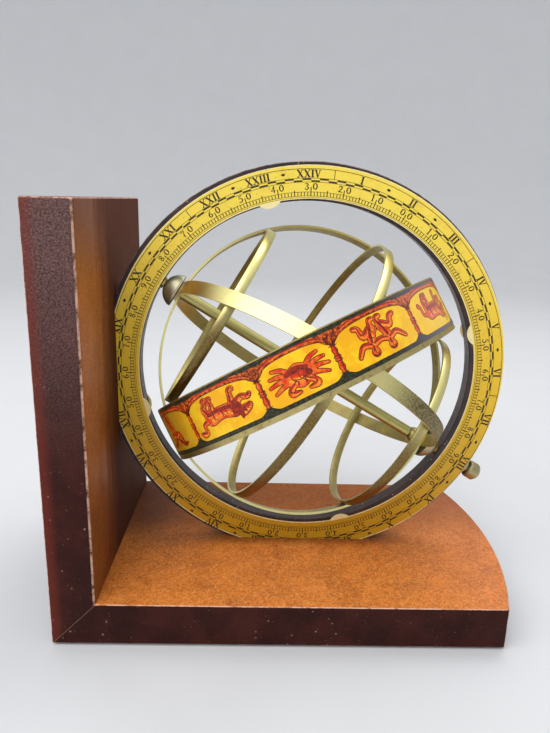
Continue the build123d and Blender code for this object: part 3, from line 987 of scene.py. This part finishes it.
        "dark": [[(-3.2, 5.2, 0.5), (-2.2, 5.7, 0.8), (-1.3, 5, 0.5)]],
        "lines": [
            [(-6.6, 6, 0.25), (-8.4, 3, 0.5), (-6.6, 0, 0.25)],
            [(-6.6, 6, 0.15), (-1.2, 3.2, 0.15), (-6.6, 0, 0.15)],
            [(-9.6, 3, 0.5), (-9, 3, 0.2), (-1.2, 3.2, 0.2)], [(0.8, 0.8, 0.2), (0.6, -1.6, 0.2)],
            [(4.4, 0.8, 0.2), (4.2, -1.6, 0.2)],
        ],
    },
    "scorpion": {
        "body": [
            *([(0.8 * x, 1.2, 0.8), (x + 1.4, 3 - 0.1 * x, 0.6), (x + 1.6, 4.4 - 0.2 * x, 0.2)]
               for x in (-2.2, -0.6, 1)),
            *([(0.8 * x, -0.8, 0.8), (x + 1.4, -2.8, 0.6), (x + 1.6, -4.4, 0.2)] for x in (-2.2, -0.6, 1)),
            [(-2.6, 0.9, 1), (-5.2, 2.8, 1.1), (-7.8, 2, 1.6), (-9.6, 2.8, 0.4)],
            [(-2.6, -0.6, 1), (-5.2, -2.4, 1.1), (-7.8, -1.6, 1.6), (-9.6, -2.4, 0.4)],
            [(-2.8, 0.2, 2.4), (0, 0.2, 3), (3.2, 0.1, 2), (6.4, -0.4, 1.5), (9.2, 0.6, 1.3), (9.6, 3, 1.1),
             (7.4, 4.4, 0.9), (5.4, 3.4, 0.3)],
        ],
        "dark": [],
        "lines": [
            *([(x, 1.3, 0.2), (x + 0.4, 0.1, 0.25), (x, -1.1, 0.2)] for x in (-1.2, 0.2, 1.6, 3)),
            [(5, 0.6, 0.2), (5.2, -1, 0.2)], [(7, 0.6, 0.2), (7.4, -0.9, 0.2)],
        ],
    },
    "scales": {
        "body": [
            [(0, 4.8, 1.2), (0, 2, 0.8), (0, -4.4, 0.8)], [(-1.6, -5, 0.8), (0, -4.6, 1.3), (1.6, -5, 0.8)],
            [(-7.2, 3, 0.5), (0, 3.6, 1.1), (7.2, 3, 0.5)],
            *mirrored([(5, -2, 0.4), (7.2, -3, 1.5), (9.4, -2, 0.4)]),
        ],
        "dark": [[(0, 5.2, 1), (0, 5.8, 0.5)]],
        "lines": mirrored([(7.2, 3, 0.2), (5, -1.8, 0.2)], [(7.2, 3, 0.2), (9.4, -1.8, 0.2)]),
    },
}

# The band's print is upside down on the sphere. Panels run upwards in angle from the left end that shows
PANEL_ORDER = ("virgin", "lion", "crab", "twins", "bull", "ram", "fishes", "water_jug", "sea_goat", "archer",
               "scorpion", "scales")
FIRST_COLUMN = 206.2
CRAB_PANEL = 25.3
OTHER_PANELS = (360 - CRAB_PANEL) / 11

# Millimetres up the band's print: its borders, the arches' spring and crown, and the middle of the signs,
# which are drawn to this scale where half a panel is this wide or more
BORDER = 1.6
SPRING, CROWN = 13.6, 17.8
SIGN_MIDDLE, SIGN_SCALE, FULL_HALF_PANEL = 9.6, 1.14, 15.5

# Each ink on the band: how high it lies, its dark, light and faded tones (the faded ones partly a painted
# sheen), and the size of its worn patches
BAND_INKS = {
    "border": (0.014, (26, 30, 20), (64, 62, 40), (122, 116, 128), 0.9),
    "drapery": (0.012, (100, 28, 14), (236, 112, 34), (214, 140, 112), 1.1),
    "outlines": (0.022, (70, 18, 10), (120, 40, 20), (150, 84, 84), 0.9),
    "figures": (0.030, (212, 44, 18), (240, 118, 32), (232, 128, 104), 2.2),
    "lights": (0.033, (236, 110, 30), (248, 168, 44), (240, 160, 120), 1.4),
    "shades": (0.036, (120, 30, 18), (178, 48, 22), (178, 104, 100), 1.2),
    "lines": (0.044, (64, 16, 10), (112, 36, 18), (146, 84, 84), 0.9),
}


def print_band(body, slot):
    """The zodiac print: borders, arched panels between turned columns, drapery above them, and the signs."""
    paper = BandPaper("zodiac_print")
    draw = random.Random(7)
    inks = {name: Print(paper, values[0]) for name, values in BAND_INKS.items()}
    ceiling = paper.height - BORDER
    ragged = [draw.uniform(-0.12, 0.12) for _ in range(721)]

    def wobble(place):
        return ragged[int(round((place % 360) * 2))]

    whole = [i / 2 for i in range(721)]
    inks["border"].fill(whole, lambda place: 0, lambda place: BORDER + wobble(place))
    inks["border"].fill(whole, lambda place: ceiling - wobble(place + 90), lambda place: paper.height)

    start = FIRST_COLUMN - OTHER_PANELS
    for name in PANEL_ORDER:
        end = start + (CRAB_PANEL if name == "crab" else OTHER_PANELS)
        draw_panel(inks, draw, start, end, ceiling, wobble)
        draw_column(inks, end)
        draw_sign(inks, start, end, SIGNS[name])
        start = end
    for name, (_, *wear) in BAND_INKS.items():
        inks[name].finish("band_" + name, band_ink_finish(name + "_ink", *wear), body, slot)


def draw_panel(inks, draw, start, end, ceiling, wobble):
    """An arch with drapery over it, and mounds of earth at the feet of its columns."""
    middle = (start + end) / 2
    per_degree = 1 / inks["border"].paper.degrees(0)
    half = (end - start) / 2 * per_degree

    def arch(place, rise=0.0):
        x = min(1.0, abs(place - middle) * per_degree / (half - 0.9))
        return min(ceiling, SPRING + (CROWN - SPRING + rise) * sqrt(max(0, 1 - x**2.6)) + rise * 0.3)

    def mound(place):
        x = half - abs(place - middle) * per_degree
        return BORDER + 2.6 * max(0, 1 - x / 4.4) ** 1.6 + 0.5 * abs(wobble(place))

    places = [start + (end - start) * i / 40 for i in range(41)]
    inks["drapery"].fill(places, arch, lambda place: ceiling + 0.1)
    inks["border"].fill(places, lambda place: BORDER - 0.1, mound)
    for i, (ink, rise) in enumerate((("figures", 0.55), ("shades", 1.05), ("figures", 1.6))):
        near = [place for place in places if abs(place - middle) < (end - start) * (0.44 - 0.05 * i)]
        inks[ink].fill(near, lambda place: arch(place, rise), lambda place: arch(place, rise) + 0.42)
    inks["lines"].fill(places, lambda place: arch(place) - 0.16, lambda place: arch(place) + 0.16)
    draw_hatching(inks["lines"], draw, start, end, arch, ceiling)


def draw_hatching(ink, draw, start, end, arch, ceiling):
    """Short dark strokes in the drapery near the columns."""
    for side in (start, end):
        for _ in range(16):
            place = side + draw.uniform(-4.2, 4.2)
            foot = arch(place) if start < place < end else 99
            if foot > ceiling - 0.6:
                continue
            y = draw.uniform(foot + 0.2, ceiling - 0.2)
            lean = draw.uniform(-0.5, 0.5)
            tall = min(draw.uniform(0.6, 1.6), ceiling - y)
            path = [(0, 0, 0.12), (lean / 2, tall / 2, 0.26), (lean, tall, 0.10)]
            ink.stroke(ink.at(place, y), path, round_ends=False, steps=2)


def draw_column(inks, place):
    """A turned column, from a foot on the lower border to a flared head."""
    shaft = [(3.4, 1.6), (4.2, 1.0), (5.6, 1.9), (7.4, 1.1), (8.1, 2.2), (8.8, 1.7), (9.5, 2.2), (10.2, 1.1),
             (11.8, 1.7), (13.0, 0.9), (SPRING, 2.2)]
    at = inks["outlines"].at(place, 0)
    sides = {
        "outlines": [(0, y, width + 0.7) for y, width in shaft],
        "figures": [(0, y, width) for y, width in shaft],
        "shades": [(width * 0.28, y, width * 0.36) for y, width in shaft],
    }
    for name, path in sides.items():
        inks[name].stroke(at, path, round_ends=False, steps=3)
    for y, wide in ((3.5, 1.3), (7.9, 1.2), (8.8, 1.0), (9.7, 1.2), (13.4, 1.5)):
        ring = [(-wide, y + 0.1, 0.26), (0, y - 0.1, 0.3), (wide, y + 0.1, 0.26)]
        inks["lines"].stroke(at, ring, steps=2)
    for side in (-1, 1):
        for reach, tall in ((1.2, 3.4), (2.4, 2.8), (3.6, 2.2)):
            bend, tip = (side * reach / 2, 13.9 + tall * 0.4, 0.35), (side * reach, 13.9 + tall, 0.15)
            inks["lines"].stroke(at, [(0, SPRING, 0.2), bend, tip], round_ends=False, steps=4)


def draw_sign(inks, start, end, sign):
    """A figure: outlined limbs with a lit side, a dark side and short strokes across the thick ones."""
    outlines = inks["outlines"]
    half = (end - start) / 2 / outlines.paper.degrees(0)
    scale = SIGN_SCALE * min(1, half / FULL_HALF_PANEL)
    at = outlines.at((start + end) / 2, SIGN_MIDDLE, size=scale, flip=True)
    for limb in sign["body"] + sign.get("face", []):
        full = [(x, y, width + 0.45) for x, y, width in limb]
        outlines.stroke(at, [(x, y, width + 0.55) for x, y, width in full])
        inks["figures"].stroke(at, full)
        thick = max(width for _, _, width in full)
        if thick > 1.6:
            shaded = [(x + 0.1 * width, y - 0.28 * width, 0.30 * width) for x, y, width in full]
            lit = [(x - 0.06 * width, y + 0.22 * width, 0.26 * width) for x, y, width in full]
            inks["shades"].stroke(at, shaded)
            inks["lights"].stroke(at, lit)
        if thick > 2.2:
            for x, y, width in smooth(full, 3)[1::2]:
                tick = [(-0.30, 0.36, 0.12), (0.02, 0.08, 0.30), (-0.06, -0.26, 0.12)]
                path = [(x + dx * width, y + dy * width, wide) for dx, dy, wide in tick]
                inks["lines"].stroke(at, path, steps=2)
    for limb in sign["dark"]:
        inks["shades"].stroke(at, limb)
    for limb in sign["lines"]:
        inks["lines"].stroke(at, [(x, y, width + 0.08) for x, y, width in limb], steps=4)


# Light, floor and background

# Each lamp's place, its width and height in metres, and its power in watts
LAMPS = {
    "key": ((-0.50, -0.60, 0.95), 1.3, 1.3, 11.0),
    "top": ((0.25, 0.35, 0.95), 0.6, 0.4, 3.0),
}
LAMP_AIM = Vector((0, 0, 0.08))


def softbox(name, place, width, height, power):
    data = bpy.data.lights.new(name, "AREA")
    data.shape = "RECTANGLE"
    data.size, data.size_y = width, height
    data.energy = power
    lamp = add_object(name, data)
    lamp.location = place
    lamp.rotation_euler = (LAMP_AIM - lamp.location).to_track_quat("-Z", "Y").to_euler()


def make_floor():
    """A round floor that sweeps up on every side into the background."""
    coat = Finish("pale_floor")
    colour = coat.mix(tone(208, 209, 211), tone(214, 215, 217), coat.noise(60, 3, 0.5))
    coat.set(Base_Color=colour, Roughness=0.85, Specular_IOR_Level=0.1)
    inner, flat, sweep, top, sides = 0.35, 1.1, 0.9, 1.4, 72
    profile = [(inner, 0.0), (flat, 0.0)]
    for turn in range(6, 91, 6):
        profile.append((flat + sweep * sin(radians(turn)), sweep * (1 - cos(radians(turn)))))
    profile.append((flat + sweep, top))
    turns = [2 * pi * i / sides for i in range(sides)]
    points = [(0, 0, 0)] + [(out * cos(turn), out * sin(turn), z) for out, z in profile for turn in turns]
    faces = [(0, 1 + i, 1 + (i + 1) % sides) for i in range(sides)]
    for ring in range(len(profile) - 1):
        low, high = 1 + ring * sides, 1 + (ring + 1) * sides
        for i in range(sides):
            after = (i + 1) % sides
            faces.append((low + i, high + i, high + after, low + after))
    mesh = bpy.data.meshes.new("floor")
    mesh.from_pydata(points, [], faces)
    for face in mesh.polygons:
        face.use_smooth = True
    mesh.materials.append(coat.material)
    add_object("floor", mesh)


def make_light():
    world = bpy.data.worlds.new("studio")
    bpy.context.scene.world = world
    world.use_nodes = True
    world.node_tree.nodes["Background"].inputs["Color"].default_value = (0.80, 0.81, 0.83, 1)
    for name, values in LAMPS.items():
        softbox(name, *values)
    bpy.context.scene.view_settings.view_transform = "Standard"


make_camera()
make_floor()
make_light()

dress(base_finish(), "base_board")
dress(upright_finish(), "upright_board")
dress(ring_wood_finish(), "meridian_ring")
dress(felt_finish(), "felt_pad")
dress(dowel_finish(), "mitre_dowels")
dress(plain_metal("screw_steel"), "ring_screw")
dress(plain_metal("bush_brass"), "north_bush", "south_bush", "thrust_collars", "axle_rod")
dress(plain_metal("sleeve_brass"), "axle_sleeve")
dress(plain_metal("dome_pewter"), "north_dome", "south_dome")
dress(plain_metal("bead_brass"), "pole_bead")
dress(plain_metal("knob_brass"), "turning_knob")
dress(plain_metal("colure_brass"), "solstitial_colure")
dress(broad_colure_finish(), "equinoctial_colure")
for circle in ("celestial_equator", "north_circle", "south_circle"):
    dress(circle_finish(circle), circle)
dress(plain_metal("band_brass"), "zodiac_band")

for paper in (RingPaper("front_scale", -1, right=-0.3, down=1.0), RingPaper("back_scale", 1)):
    print_scale(paper, "stand", "scale_paper")
    dress(paper_finish(paper), paper.node)
dress(band_paper_finish(), "zodiac_print")
print_band("sphere", "band_paper")
